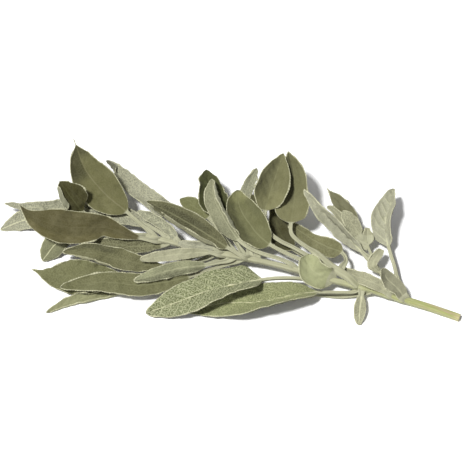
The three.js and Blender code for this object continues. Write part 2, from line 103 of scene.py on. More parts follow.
class Wire:
    def __init__(self, tree, socket=None):
        self.tree = tree
        self.socket = socket

    def node(self, kind, settings=None, inputs=None, output=0):
        made = self.tree.nodes.new(kind)
        for name, value in (settings or {}).items():
            setattr(made, name, value)
        for name, value in (inputs or {}).items():
            if isinstance(value, Wire):
                self.tree.links.new(value.socket, made.inputs[name])
            else:
                made.inputs[name].default_value = value
        return Wire(self.tree, made.outputs[output])

    def math(self, operation, *values):
        return self.node("ShaderNodeMath", {"operation": operation}, dict(enumerate(values)))

    def __add__(self, other):
        return self.math("ADD", self, other)

    def __radd__(self, other):
        return self.math("ADD", other, self)

    def __sub__(self, other):
        return self.math("SUBTRACT", self, other)

    def __rsub__(self, other):
        return self.math("SUBTRACT", other, self)

    def __mul__(self, other):
        return self.math("MULTIPLY", self, other)

    def __rmul__(self, other):
        return self.math("MULTIPLY", other, self)

    def __truediv__(self, other):
        return self.math("DIVIDE", self, other)

    def __abs__(self):
        return self.math("ABSOLUTE", self)

    # 0 where the wire is at or below low, 1 from high on, smooth between
    def rise(self, low, high):
        steps = {"interpolation_type": "SMOOTHSTEP", "clamp": True}
        return self.node("ShaderNodeMapRange", steps, {"Value": self, 1: low, 2: high})

    def parts(self):
        made = self.tree.nodes.new("ShaderNodeSeparateXYZ")
        self.tree.links.new(self.socket, made.inputs[0])
        return [Wire(self.tree, output) for output in made.outputs]

    def vector(self, x, y, z):
        return self.node("ShaderNodeCombineXYZ", None, {0: x, 1: y, 2: z})

    # A noise from 0 to 1, about 0.5, in cells of the given size
    def noise(self, size, detail=2.0):
        inputs = {"Vector": self, "Scale": 1.0 / size, "Detail": detail}
        return self.node("ShaderNodeTexNoise", None, inputs)

    def mixColor(self, factor, other):
        made = self.tree.nodes.new("ShaderNodeMix")
        made.data_type = "RGBA"
        for place, value in ((0, factor), (6, self), (7, other)):
            if isinstance(value, Wire):
                self.tree.links.new(value.socket, made.inputs[place])
            else:
                made.inputs[place].default_value = value
        return Wire(self.tree, made.outputs[2])


# Reading the CAD pieces: each is a skin over a row of rings, drawn to a point at both ends

ringSides = 8


def cornersAndFaces(nodeName):
    mesh = frame["nodes"][nodeName].data
    corners = [tuple(round(value, 7) for value in vertex.co) for vertex in mesh.vertices]
    places = {corner: place for place, corner in enumerate(dict.fromkeys(corners))}
    faces = [[places[corners[vertex]] for vertex in face.vertices] for face in mesh.polygons]
    return np.array(list(places)), faces


# The first ring about a pole, in the order that makes the faces look out
def ringAbout(pole, faces):
    following = {}
    for face in faces:
        if pole in face:
            turn = face.index(pole)
            following[face[(turn + 2) % 3]] = face[(turn + 1) % 3]
    ring = [next(iter(following))]
    while len(ring) < ringSides:
        ring.append(following[ring[-1]])
    return ring


# The pole where the piece starts, its rings in order, and the pole where it ends
def readRings(nodeName):
    points, faces = cornersAndFaces(nodeName)
    neighbours = [set() for _ in points]
    for face in faces:
        for corner in face:
            neighbours[corner].update(face)
    poles = [place for place, near in enumerate(neighbours) if len(near) == ringSides + 1]
    rings = {pole: ringAbout(pole, faces) for pole in poles}
    isStem = nodeName in stemNames

    def startScore(pole):
        ring = points[rings[pole]]
        if isStem:
            return -np.ptp(ring, axis=0).max()
        return np.linalg.norm(ring.mean(axis=0) - points[pole])

    start, end = sorted(poles, key=startScore)
    ring = rings[start]
    if not isStem:  # the groove along the top of the stalk is the ring's point nearest the pole
        groove = min(range(ringSides), key=lambda side: np.linalg.norm(points[ring[side]] - points[start]))
        ring = [ring[(groove + side - 2) % ringSides] for side in range(ringSides)]
    rows = [ring]
    known = {start, *ring}
    while True:
        beyond = [(neighbours[ring[side]] & neighbours[ring[side - 1]]) - known for side in range(ringSides)]
        if end in beyond[0]:
            break
        ring = [corners.pop() for corners in beyond]
        rows.append(ring)
        known.update(ring)
    return points[start], points[np.array(rows)], points[end]


def lengthsAlong(points):
    return np.concatenate([[0.0], np.cumsum(np.linalg.norm(np.diff(points, axis=0), axis=1))])


def unit(vectors):
    return vectors / np.linalg.norm(vectors, axis=-1, keepdims=True)


# A smooth curve through values at the given knots
def smoothBetween(knots, values, at):
    slopes = np.gradient(values, knots, axis=0)
    span = np.clip(np.searchsorted(knots, at, side="right") - 1, 0, len(knots) - 2)
    width = knots[span + 1] - knots[span]
    t = (at - knots[span]) / width
    if values.ndim > 1:
        width, t = width[:, None], t[:, None]
    rest = 1 - t
    return ((1 + 2 * t) * rest**2 * values[span] + t * rest**2 * width * slopes[span]
            + t**2 * (3 - 2 * t) * values[span + 1] - t**2 * rest * width * slopes[span + 1])


def smoothStep(low, high, value):
    t = np.clip((value - low) / (high - low), 0.0, 1.0)
    return t * t * (3 - 2 * t)


# 1 between two places and 0 beyond them, with soft ends
def between01(value, first, last, soft):
    return smoothStep(first - soft, first + soft, value) * (1 - smoothStep(last - soft, last + soft, value))


stemLines = {}
for name in stemNames:
    start, rings, end = readRings(name)
    centres = rings.mean(axis=1)
    radii = np.linalg.norm(rings - centres[:, None], axis=2).mean(axis=1)
    stemLines[name] = {"centres": centres, "radii": radii, "across": unit(rings[:, 0] - centres)}


# The place on a stem's middle line nearest to a point: its distance, its stem, its length along it
def nearestOnStems(point, names=stemNames):
    found = []
    for name in names:
        line = stemLines[name]
        lengths = lengthsAlong(line["centres"])
        at = np.linspace(0.0, lengths[-1], 400)
        middle = smoothBetween(lengths, line["centres"], at)
        away = np.linalg.norm(middle - point, axis=1)
        place = int(away.argmin())
        radius = np.interp(at[place], lengths, line["radii"])
        found.append((away[place] - radius, name, at[place], middle[place], radius))
    return min(found, key=lambda entry: entry[0])


# A closed mesh over rings of equal count, with its point values stored as attributes
def meshFromRings(name, rings, start, end, values):
    rows, count = rings.shape[:2]
    points = np.concatenate([[start], rings.reshape(-1, 3), [end]])
    grid = 1 + np.arange(rows * count).reshape(rows, count)
    after = np.roll(grid, -1, axis=1)
    quads = np.stack([grid[:-1], after[:-1], after[1:], grid[1:]], axis=-1).reshape(-1, 4)
    last = len(points) - 1
    faces = [[0, b, a] for a, b in zip(grid[0], after[0])]
    faces += quads.tolist()
    faces += [[a, b, last] for a, b in zip(grid[-1], after[-1])]
    mesh = bpy.data.meshes.new(name)
    mesh.from_pydata(points.tolist(), [], faces)
    for key, value in values.items():
        value = np.asarray(value, float)
        flat = value.reshape((rows * count,) + value.shape[2:])
        flat = np.concatenate([flat[:1], flat, flat[-1:]])
        kind, field = ("FLOAT_VECTOR", "vector") if flat.ndim > 1 else ("FLOAT", "value")
        mesh.attributes.new(key, kind, "POINT").data.foreach_set(field, flat.astype(np.float32).ravel())
    mesh.shade_smooth()
    piece = bpy.data.objects.new(name, mesh)
    bpy.context.scene.collection.objects.link(piece)
    return piece


# Leaves

thinnest = 0.05  # mm, half the width of the finest tip
scallopLength = 1.1  # mm, of the margin's teeth
leastMargin = 0.4  # the share of a half that a hollow in its margin always leaves
swayLength = 16.0  # mm
sideSigns = {"left": -1, "right": 1}
leastHeights = {
    "middle": 0.45,  # mm, of a blade's middle line
    "blade": 0.06,  # mm, of its skin before the relief
    "stem": 0.02,  # mm, of a stem's skin
    "finished": 0.03,  # mm, of anything when it is done
}
topBend = {"from": 1.0, "share": 0.5}  # mm below the sprig's own height, and what is left of the rest
ringLift = 0.34  # mm, from a blade's middle to its upper side
rootReach = 1.3  # how far a foot runs into its stem, against its distance from the stem's middle
leafForm = {
    "tipStations": np.array([2.2, 1.2, 0.5, 0.15]),  # half cells from the tip, where the rows crowd
    "rimStations": np.array([0.2, 0.11, 0.04, 0.0]),  # mm in from the margin
    "bladeFoot": 0.18,  # the share of the blade where it widens from its stalk
    "pointShare": 0.16,  # the share of it that a slender tip takes up
    "ribTip": 0.3,  # mm, half the midrib's width at the tip
    "ribGrowth": 0.62,  # mm, what that gains towards the stalk
    "grooveDepth": 0.3,  # mm, along the stalk's upper side
    "grooveWidth": 0.4,  # mm
}
usualLeaf = {
    "cell": 0.36,  # mm, the size of the mesh's faces
    "thickness": 0.42,  # mm, of the blade
    "stalkThickness": 0.8,
    "ribDepth": 0.6,  # mm, of the midrib below the stalk's end
    "ribEnd": 0.12,  # mm, of the midrib at the tip
    "crease": 0.4,  # 1 where the halves meet in a sharp fold, 0 where the blade is a smooth trough
    "cup": 0.15,  # radians, how much more each half rises towards its margin
    "tipCup": 0.0,  # the same again at the tip
    "wave": 0.4,  # radians, of the margin
    "waveLength": 13.0,  # mm
    "sway": 0.35,  # mm, of the whole blade, up and down
    "scallop": 0.12,  # mm, the margin's small rounded teeth
    "bumps": (),  # side, place along the blade, span, and how far the margin stands out there, in mm
    "point": 0.5,  # how slender the tip is
    "hair": 0.0,  # mm, of the thread at the tip
    "hairWidth": 0.25,
    "longer": 0.0,  # mm, how far the tip reaches on
    "sag": (0.0, 0.0),  # mm, how far the middle and the tip sink
    "footWidth": 0.8,  # mm, of the half width where it meets the stem
    "rolls": (),  # side, from and to along the blade, share of the half that rolls, radians
    "turned": False,  # its underside looks up
    "net": 0.25,  # how far the fine net shows
    "veins": 0.15,  # and the side veins
    "rib": 0.4,  # and the midrib
    "shade": 1.0,  # lighter or darker than its kind
    "fade": 0.0,  # how much lighter it gets towards the tip
    "lean": 0.0,  # painted shade: how much lighter its right half is painted, standing in for light falling unevenly on the two halves of a fold
    "paintedLightAndShade": (),  # painted light and shade standing in for folds, curls and cast shadows: side, from and to along the blade, from and to across its half, how light it is painted
    "tipShade": 0.4,
    "down": 0.12,  # how much of its colour the pale down hides
    "green": 0.0,  # how much fresh green shows through
    "flare": 1.9,  # how far the stalk widens where it meets the stem
    "flareLength": 7.0,  # mm
}
leafChanges = {
    "left_leaf_13": {"turned": True, "veins": 0.3, "net": 0.3, "shade": 0.85},
    "right_leaf_1": {"turned": True, "crease": 1.0, "veins": 0.8, "rib": 0.7, "down": 0.9, "point": 0.2,
                     "wave": 0.1, "sway": 0.1, "bumps": (("left", 0.15, 0.1, 1.2), ("right", 0.5, 0.2, -0.5)),
                     "shade": 0.96},
    "right_leaf_2": {"point": 0.8, "shade": 1.05},
    "right_leaf_3": {"net": 0.5, "veins": 0.3, "cup": 0.3, "shade": 0.92, "cell": 0.3},
    "right_leaf_4": {"hair": 1.6, "point": 0.8, "down": 0.3, "shade": 1.4, "cup": -0.2},
    "right_leaf_5": {"turned": True, "crease": 1.0, "veins": 0.3, "rib": 0.8, "point": 0.3, "wave": 0.15,
                     "paintedLightAndShade": (("right", 0.05, 0.6, 0.05, 0.3, 0.45), ("left", 0.1, 0.9, 0.1, 1.1, 0.92))},
    "right_leaf_6": {"point": 0.7, "shade": 0.85},
    "right_leaf_7": {"cup": 0.8, "crease": 0.0, "shade": 1.15,
                     "paintedLightAndShade": (("both", 0.2, 0.8, 0.0, 0.45, 0.95),)},
    "right_leaf_8": {"cup": 0.3, "crease": 0.2, "shade": 0.75, "net": 0.1, "point": 0.2,
                     "paintedLightAndShade": (("both", 0.6, 1.1, 0.0, 1.1, 0.8),)},
    "upper_leaf_1": {"cup": 0.9, "tipCup": 0.2, "crease": 0.0, "wave": 0.08, "net": 0.1, "veins": 0.05,
                     "rib": 0.2, "point": 0.75, "shade": 1.06,
                     "paintedLightAndShade": (("left", 0.25, 0.9, 0.15, 1.1, 0.7), ("right", 0.0, 0.35, 0.0, 1.1, 1.2))},
    "upper_leaf_2": {"cup": 0.3, "crease": 0.0, "wave": 0.1, "net": 0.1, "veins": 0.05, "rib": 0.15,
                     "point": 0.75, "sway": 0.1,
                     "bumps": (("right", 0.5, 0.12, -0.9), ("left", 0.12, 0.12, 1.0)),
                     "paintedLightAndShade": (("left", 0.3, 1.1, 0.0, 0.8, 0.6), ("both", 0.6, 1.1, 0.0, 0.5, 0.85),
                               ("both", 0.0, 0.3, 0.0, 1.1, 1.12))},
    "upper_leaf_3": {"cup": 0.3, "crease": 0.2, "shade": 0.85, "longer": 5.0,
                     "point": 0.1,
                     "bumps": (("right", 0.5, 0.3, 1.2), ("left", 0.3, 0.3, 0.8), ("right", 0.85, 0.12, 1.2),
                               ("left", 0.85, 0.12, 1.2))},
    "upper_leaf_4": {"cup": 0.2, "veins": 0.2, "crease": 0.2, "point": 0.3, "shade": 1.05,
                     "bumps": (("right", 0.55, 0.28, -2.0),),
                     "paintedLightAndShade": (("both", 0.75, 1.1, 0.0, 1.1, 0.75), ("right", 0.0, 0.6, 0.2, 1.1, 1.15))},
    "upper_leaf_5": {"cup": 0.9, "crease": 0.0, "wave": 0.08, "net": 0.1, "veins": 0.1, "rib": 0.3,
                     "tipCup": 0.2, "point": 0.4, "green": 0.08, "shade": 0.86,
                     "paintedLightAndShade": (("left", 0.2, 0.82, 0.35, 1.1, 0.72), ("both", 0.82, 1.1, 0.0, 1.1, 1.45),
                               ("right", 0.45, 0.8, 0.5, 1.1, 0.85))},
    "upper_leaf_6": {"turned": True, "green": 0.12, "shade": 0.7, "net": 0.4, "point": 0.5},
    "upper_leaf_8": {"rolls": (("right", 0.1, 0.9, 0.5, 1.5),), "crease": 0.6, "point": 0.5, "wave": 0.2,
                     "green": 0.12, "shade": 0.76, "paintedLightAndShade": (("both", 0.0, 0.4, 0.0, 1.1, 0.85),)},
    "upper_leaf_9": {"cup": 0.3, "point": 0.6, "green": 0.2, "shade": 0.56},
    "upper_leaf_10": {"green": 0.14, "rib": 0.2, "cup": 0.2, "shade": 0.94, "point": 0.7},
    "upper_leaf_11": {"rolls": (("left", 0.1, 1.0, 0.4, 2.9),), "shade": 0.65, "crease": 0.7, "point": 0.6,
                      "wave": 0.15, "bumps": (("left", 0.4, 0.4, 0.8),),
                      "paintedLightAndShade": (("left", 0.3, 1.1, 0.0, 0.55, 0.6), ("right", 0.25, 0.85, 0.0, 0.6, 0.62))},
    "back_leaf": {"turned": True, "cell": 0.3, "net": 0.55, "veins": 0.4, "rib": 0.3, "shade": 0.78,
                  "rolls": (("left", 0.78, 1.1, 1.0, 2.8),)},
    "fork_leaf_1": {"cup": 0.9, "crease": 0.0, "wave": 0.06, "sway": 0.1, "net": 0.1, "veins": 0.05,
                    "shade": 1.22, "rib": 0.15, "green": 0.28, "scallop": 0.05,
                    "paintedLightAndShade": (("both", 0.25, 0.6, 0.0, 0.4, 0.88),)},
    "fork_leaf_2": {"veins": 0.4, "crease": 0.3},
    "fork_leaf_3": {"rib": 0.8, "crease": 0.8, "cup": 0.3, "net": 0.4},
    "left_leaf_1": {"cup": 0.3, "tipCup": 0.8, "crease": 0.1, "wave": 0.1, "net": 0.12, "veins": 0.1,
                    "rib": 0.32, "hair": 3.0, "hairWidth": 0.5, "point": 0.7, "lean": -0.06, "tipShade": 0.8,
                    "green": 0.1, "shade": 1.05,
                    "paintedLightAndShade": (("left", 0.6, 1.1, 0.0, 1.1, 0.5), ("right", 0.82, 1.1, 0.0, 1.1, 0.5))},
    "left_leaf_2": {"rolls": (("left", 0.35, 0.9, 0.4, 2.6),), "cup": 0.2, "rib": 0.5, "wave": 0.2,
                    "waveLength": 9.0, "down": 0.06, "sway": 0.1, "point": 0.9, "shade": 0.92,
                    "sag": (0.0, 2.0),
                    "bumps": (("right", 0.3, 0.09, 1.0), ("right", 0.78, 0.14, -1.6),
                              ("left", 0.8, 0.2, -1.2))},
    "left_leaf_3": {"turned": True, "cell": 0.3, "net": 0.6, "veins": 0.5, "rib": 0.6, "down": 0.6,
                    "shade": 0.75, "bumps": (("right", 0.42, 0.12, 2.0),)},
    "left_leaf_4": {"cup": 0.1, "crease": 0.1, "wave": 0.3, "waveLength": 17.0, "net": 0.1, "veins": 0.08,
                    "rib": 0.1, "point": 0.9, "hair": 1.0, "down": 0.05,
                    "paintedLightAndShade": (("left", 0.1, 0.9, 0.5, 1.1, 1.25), ("both", 0.92, 1.1, 0.0, 1.1, 0.55)),
                    "bumps": (("left", 0.3, 0.08, -1.2), ("right", 0.86, 0.1, -1.2))},
    "left_leaf_5": {"turned": True, "rib": 0.9, "down": 0.7, "net": 0.6, "shade": 0.8},
    "left_leaf_6": {"turned": True, "rib": 1.0, "crease": 1.0, "shade": 0.68, "lean": 0.3, "point": 0.3,
                    "green": 0.15},
    "left_leaf_7": {"rolls": (("left", 0.5, 1.1, 0.25, 2.6),), "crease": 0.2, "rib": 0.2, "shade": 0.85,
                    "paintedLightAndShade": (("right", 0.5, 1.1, 0.4, 1.1, 0.6),)},
    "left_leaf_8": {"hair": 2.0, "point": 0.9, "wave": 0.35, "waveLength": 10.0, "sway": 0.3, "rib": 0.15,
                    "green": 0.08, "shade": 0.85, "bumps": (("right", 0.82, 0.1, -1.5),)},
    "left_leaf_9": {"scallop": 0.22, "wave": 0.15, "rib": 0.3, "crease": 0.2, "point": 0.3, "green": 0.05,
                    "shade": 0.85},
    "left_leaf_10": {"rolls": (("left", 0.3, 1.1, 0.3, 2.5),), "down": 0.5, "green": 0.1, "shade": 1.1},
    "left_leaf_11": {"shade": 0.7, "cup": -0.2, "crease": 0.0, "net": 0.3, "green": 0.22,
                     "paintedLightAndShade": (("left", 0.0, 1.1, 0.3, 1.1, 0.6), ("right", 0.2, 0.9, 0.0, 0.9, 1.15))},
    "left_leaf_12": {"cup": -0.1, "veins": 0.12, "net": 0.2, "shade": 1.08},
    "left_leaf_14": {"turned": True, "shade": 0.7, "veins": 0.9, "net": 0.5, "cup": 0.4, "down": 0.2,
                     "green": 0.08, "bumps": (("right", 0.5, 0.35, -0.9), ("left", 0.5, 0.35, -0.7))},
    "left_leaf_15": {"net": 0.6, "down": 0.3, "shade": 0.76},
    "front_leaf_1": {"cell": 0.22, "net": 1.0, "veins": 0.2, "rib": 1.0, "wave": 0.05, "crease": 1.0,
                     "turned": True, "green": 0.5, "shade": 1.04, "sway": 0.05, "down": 0.1, "cup": 0.4,
                     "sag": (1.5, 0.0),
                     "paintedLightAndShade": (("right", 0.0, 0.5, 0.0, 1.1, 0.85),)},
    "front_leaf_2": {"cell": 0.22, "net": 0.85, "veins": 0.7, "rib": 1.0, "wave": 0.05, "crease": 1.0,
                     "turned": True, "green": 0.7, "shade": 0.62, "sway": 0.05, "down": 0.1, "cup": -0.2,
                     "sag": (2.0, 0.0),
                     "bumps": (("right", 0.55, 0.08, -0.9), ("left", 0.3, 0.2, -0.6),
                               ("right", 0.1, 0.07, 2.2), ("left", 0.08, 0.07, 1.4)),
                     "paintedLightAndShade": (("left", 0.0, 1.1, 0.0, 1.1, 0.84), ("both", 0.0, 0.25, 0.0, 1.1, 0.9))},
    "front_leaf_3": {"net": 0.8, "down": 0.4},
}


sinking = np.array([0.0, 0.58, -1.0])  # a sinking leaf also slides back


# The rings' middle, sides, half width and fold, in mm, from the stem to the tip
def readLeaf(nodeName, look):
    hair, hairWidth = look["hair"], look["hairWidth"]
    start, rings, end = readRings(nodeName)
    up = unit(rings[:, 2] - rings[:, 6])
    across = unit(rings[:, 4] - rings[:, 0])
    up = unit(up - across * (up * across).sum(axis=1, keepdims=True))
    middle = rings[:, 2] - up * ringLift * mm
    middle[0] = start
    end = end + unit(end - middle[-1]) * look["longer"] * mm
    rims = (rings[:, 0] + rings[:, 4]) / 2
    out = np.linalg.norm(rings[:, 4] - rings[:, 0], axis=1) / 2
    rise = ((rims - middle) * up).sum(axis=1)
    reach = lengthsAlong(middle) / lengthsAlong(middle)[-1]
    sunk = look["sag"][0] * np.sin(math.pi * reach) + look["sag"][1] * reach**2
    middle = middle + np.outer(sunk, sinking) * mm
    end = end + look["sag"][1] * sinking * mm
    width = np.hypot(out, rise)
    fold = np.arctan2(rise, out)
    along = unit(middle[1] - start)

    # the stalk goes on into the stem that it grows from, and the tip into a fine thread
    gap, _, _, _, radius = nearestOnStems(start)
    _, _, _, root, _ = nearestOnStems(start - along * (gap + radius) * rootReach)
    grown = lambda first, row, last: np.concatenate([[first], row, last])
    repeats = 2 if hair else 1
    tips = [end, end + unit(end - middle[-1]) * hair * mm][:repeats]
    footWidth = min(width[0], look["footWidth"] * mm)
    early = width[:len(width) // 2]
    stalkRows = np.flatnonzero(early < 1.03 * width[0]) if width[0] < 1.3 * early.min() else [0]
    return {
        "middle": grown(root, middle, tips),
        "up": grown(up[0], up, [up[-1]] * repeats),
        "across": grown(across[0], across, [across[-1]] * repeats),
        "width": grown(footWidth, width, [hairWidth * mm, 0.0] if hair else [0.0]),
        "fold": grown(fold[0], fold, [fold[-1]] * repeats),
        "bladeRow": 1 + int(stalkRows[-1]),
    }


# How steeply the section rises away from the midrib, at each place along (rows) and across (columns),
# and how much a rolled margin adds to that
def sectionSlopes(look, fold, at, reach, blade, v, draw):
    depth = np.abs(v)
    slope = np.outer(fold, look["crease"] + (1 - look["crease"]) * smoothStep(0.0, 0.45, depth))
    slope += np.outer((look["cup"] + look["tipCup"] * reach**2) * blade, 0.9 * depth**2)
    for side in (-1, 1):
        phase = draw.uniform(0, 2 * math.pi)
        length = look["waveLength"] * draw.uniform(0.8, 1.25)
        swing = np.sin(2 * math.pi * at / length + phase)
        swing += 0.5 * np.sin(2 * math.pi * at / length * 2.3 + 2 * phase)
        slope += np.outer(swing * blade * look["wave"], depth**2) * (np.sign(v) == side)
    rolled = np.zeros_like(slope)
    for side, first, last, share, angle in look["rolls"]:
        where = between01(reach, first, last, 0.08)
        onSide = np.sign(v) == sideSigns[side]
        rolled += np.outer(where, smoothStep(1 - share, 1 - 0.5 * share, depth) * angle) * onSide
    return slope, rolled


def makeLeaf(nodeName, index):
    look = {**usualLeaf, **leafChanges.get(nodeName, {})}
    leaf = readLeaf(nodeName, look)
    draw = np.random.default_rng(1000 + index)
    knots = lengthsAlong(leaf["middle"]) / mm
    total = knots[-1]
    bladeStart = knots[leaf["bladeRow"]]
    bladeLength = total - look["hair"] - bladeStart
    cell = look["cell"]

    # stations are closer together near the tip
    rows = max(12, int(round(total / cell)))
    ease = np.linspace(0.0, 1.0, rows + 1)[:-1]
    nearTip = 0.5 * cell / total
    at = total * np.concatenate([ease[ease < 1 - 3 * nearTip], 1 - nearTip * leafForm["tipStations"]])
    reach = np.clip((at - bladeStart) / bladeLength, 0.0, 1.0)
    blade = smoothStep(0.0, leafForm["bladeFoot"], reach)
    root = 1 - smoothStep(0.5, look["flareLength"], at)
    middle = smoothBetween(knots, leaf["middle"], at) / mm
    up = unit(smoothBetween(knots, leaf["up"], at))
    sway = np.sin(2 * math.pi * (at / swayLength + draw.uniform(0, 1))) * blade * look["sway"]
    middle = middle + up * sway[:, None]
    middle[:, 2] = np.maximum(middle[:, 2], leastHeights["middle"])
    across = unit(smoothBetween(knots, leaf["across"], at))
    along = unit(np.gradient(middle, at, axis=0))
    across = unit(across - along * (across * along).sum(axis=1, keepdims=True))
    up = np.cross(across, along)
    width = np.maximum(smoothBetween(knots, (leaf["width"] / mm) ** 1.4, at), 1e-4) ** (1 / 1.4)
    nearPoint = 1 - np.clip((1 - reach) / leafForm["pointShare"], 0.0, 1.0)
    width *= 1 - look["point"] * 0.8 * nearPoint ** 1.3
    stalk = min(leaf["width"][0] / mm, 0.8) if bladeStart > 3.0 else 0.0
    width = np.maximum(width, thinnest + stalk * (1 - smoothStep(0.1, 0.3, reach)))
    fold = smoothBetween(knots, leaf["fold"], at)

    # from the left rim to the right one
    halfCount = max(6, int(round(width.max() / cell)))
    inner = np.linspace(0.0, 1.0, halfCount + 1)
    inner = inner[inner < 1 - 0.25 / width.max()]
    rim = 1 - leafForm["rimStations"] / max(width.max(), 1.5)
    half = np.concatenate([inner, rim])
    v = np.concatenate([-half[:0:-1], half])
    depth = np.abs(v)

    slope, rolled = sectionSlopes(look, fold, at, reach, blade, v, draw)
    narrowed = np.cos(slope).mean(axis=1) / np.cos(fold)
    width = width / np.maximum(narrowed, 0.6)
    slope = slope + rolled
    scallops = np.abs(np.sin(math.pi * (at - bladeStart) / scallopLength)) - 0.6
    reachOut = width + look["scallop"] * scallops * blade * np.clip(width / 2.5, 0, 1)
    flare = look["flare"] if bladeStart > 3.0 else 1.0
    reachOut = reachOut * (1 + (flare - 1) * root)
    outSides = {-1: reachOut.copy(), 1: reachOut.copy()}
    for side, place, span, size in look["bumps"]:
        swell = size * blade * np.exp(-((reach - place) / span) ** 2)
        sign = sideSigns[side]
        outSides[sign] = np.maximum(outSides[sign] + swell, leastMargin * reachOut)
    outward = np.where(v < 0, outSides[-1][:, None], outSides[1][:, None])
    steps = np.diff(v)
    between = (slope[:, 1:] + slope[:, :-1]) / 2
    x = np.concatenate([np.zeros((len(at), 1)), np.cumsum(np.cos(between) * steps, axis=1)], axis=1)
    rise = np.sin(between) * np.sign((v[1:] + v[:-1]) / 2) * steps
    y = np.concatenate([np.zeros((len(at), 1)), np.cumsum(rise, axis=1)], axis=1)
    centre = len(half) - 1
    x = (x - x[:, centre:centre + 1]) * outward
    y = (y - y[:, centre:centre + 1]) * outward

    # the thickness, round at the rims, with the midrib on the underside and a groove along the stalk
    thick = look["stalkThickness"] + (look["thickness"] - look["stalkThickness"]) * blade
    thick = np.minimum(thick, 1.2 * reachOut + 0.02)[:, None] / 2
    edge = np.clip(((depth[None] - 1) * outward + thick) / thick, 0.0, 1.0)
    halfThick = thick * np.sqrt(1 - edge**2)
    tangent = unit(np.stack([np.gradient(x, axis=1), np.gradient(y, axis=1)], axis=-1))
    normal = np.stack([-tangent[..., 1], tangent[..., 0]], axis=-1)
    ribDepth = look["ribEnd"] + (look["ribDepth"] - look["ribEnd"]) * (1 - reach) ** 1.4
    ribDepth = ribDepth * (1 + 0.4 * root) * smoothStep(0.0, 0.04, 1 - at / total)
    ribWidth = (leafForm["ribTip"] + leafForm["ribGrowth"] * (1 - reach) ** 1.5) * (1 + 0.5 * root)
    spread = np.clip(np.abs(x) / np.minimum(ribWidth, 0.95 * reachOut)[:, None], 0.0, 1.0)
    rib = ribDepth[:, None] * np.sqrt(1 - spread**2)
    trough = np.exp(-(v[None] / leafForm["grooveWidth"]) ** 2)
    groove = leafForm["grooveDepth"] * (1 - blade)[:, None] * trough
    ribAbove = (blade if look["turned"] else np.zeros_like(blade))[:, None]
    flat = np.stack([x, y], axis=-1)
    top = flat + normal * (halfThick + rib * ribAbove - groove)[..., None]
    under = flat - normal * (halfThick + rib * (1 - ribAbove))[..., None]
    section = np.concatenate([top, under[:, -2:0:-1]], axis=1)
    points = middle[:, None] + across[:, None] * section[..., :1] + up[:, None] * section[..., 1:]
    points[..., 2] = np.maximum(points[..., 2], leastHeights["blade"])

    def around(onTop):
        onTop = np.broadcast_to(onTop, x.shape)
        return np.concatenate([onTop, onTop[:, -2:0:-1]], axis=1)

    # 1 on the upper side and -1 on the underside, or 2 on an upper side that looks down
    sides = np.where(np.arange(section.shape[1]) < len(v), *((-1.0, 2.0) if look["turned"] else (1.0, -1.0)))
    sides = np.broadcast_to(sides, section.shape[:2])
    margin = (1 - depth)[None] * outward
    # the leaf's tone, lighter towards the tip by fade, with a painted shade across its halves by lean that
    # stands in for the light on a fold
    shades = look["shade"] * np.outer(1 + look["fade"] * (2 * reach - 1), 1 + look["lean"] * v)
    # painted light and shade: patches made lighter or darker, standing in for the light on folds and curls
    # and for shadows cast by neighbouring leaves
    for side, first, last, inner, outer, factor in look["paintedLightAndShade"]:
        where = np.outer(between01(reach, first, last, 0.07), between01(depth, inner, outer, 0.15))
        if side in sideSigns:
            where = where * smoothStep(-0.08, 0.12, v * sideSigns[side])
        shades = shades * (1 + (factor - 1) * where)
    shades = shades * (1 + (look["tipShade"] - 1) * smoothStep(0.96, 1.0, reach))[:, None]
    salt = draw.uniform(0, 50)
    values = {
        "bladePlace": (around((at - bladeStart)[:, None]), around(v[None] * outward), sides),
        "bladeEdge": (around(margin), around(blade[:, None]), around(reach[:, None])),
        "leafLook": [around(look[key]) for key in ("net", "veins", "rib")],
        "leafTint": (around(shades), around(look["down"]), around(look["green"])),
    }
    values = {key: np.stack(parts, axis=-1) for key, parts in values.items()}
    values["leafSalt"] = around(salt)
    return meshFromRings(nodeName + "_blade", points * mm, middle[0] * mm, leaf["middle"][-1], values)


# Stems

stemValues = {
    "sides": 40,
    "cell": 0.4,  # mm
    "corner": 0.075,  # how square the section is
    "groove": 0.04,  # how deep the sides are hollowed
    "nodeSwell": 0.14,
    "nodeLength": 1.6,  # mm
    "pith": 0.35,  # mm, how far the middle of the cut end is sunk
    "cutRidge": 0.03,  # mm, how far the ring about it stands out
    "greyFrom": 60.0,  # mm, the length along the main stem that a shoot's foot looks like
}


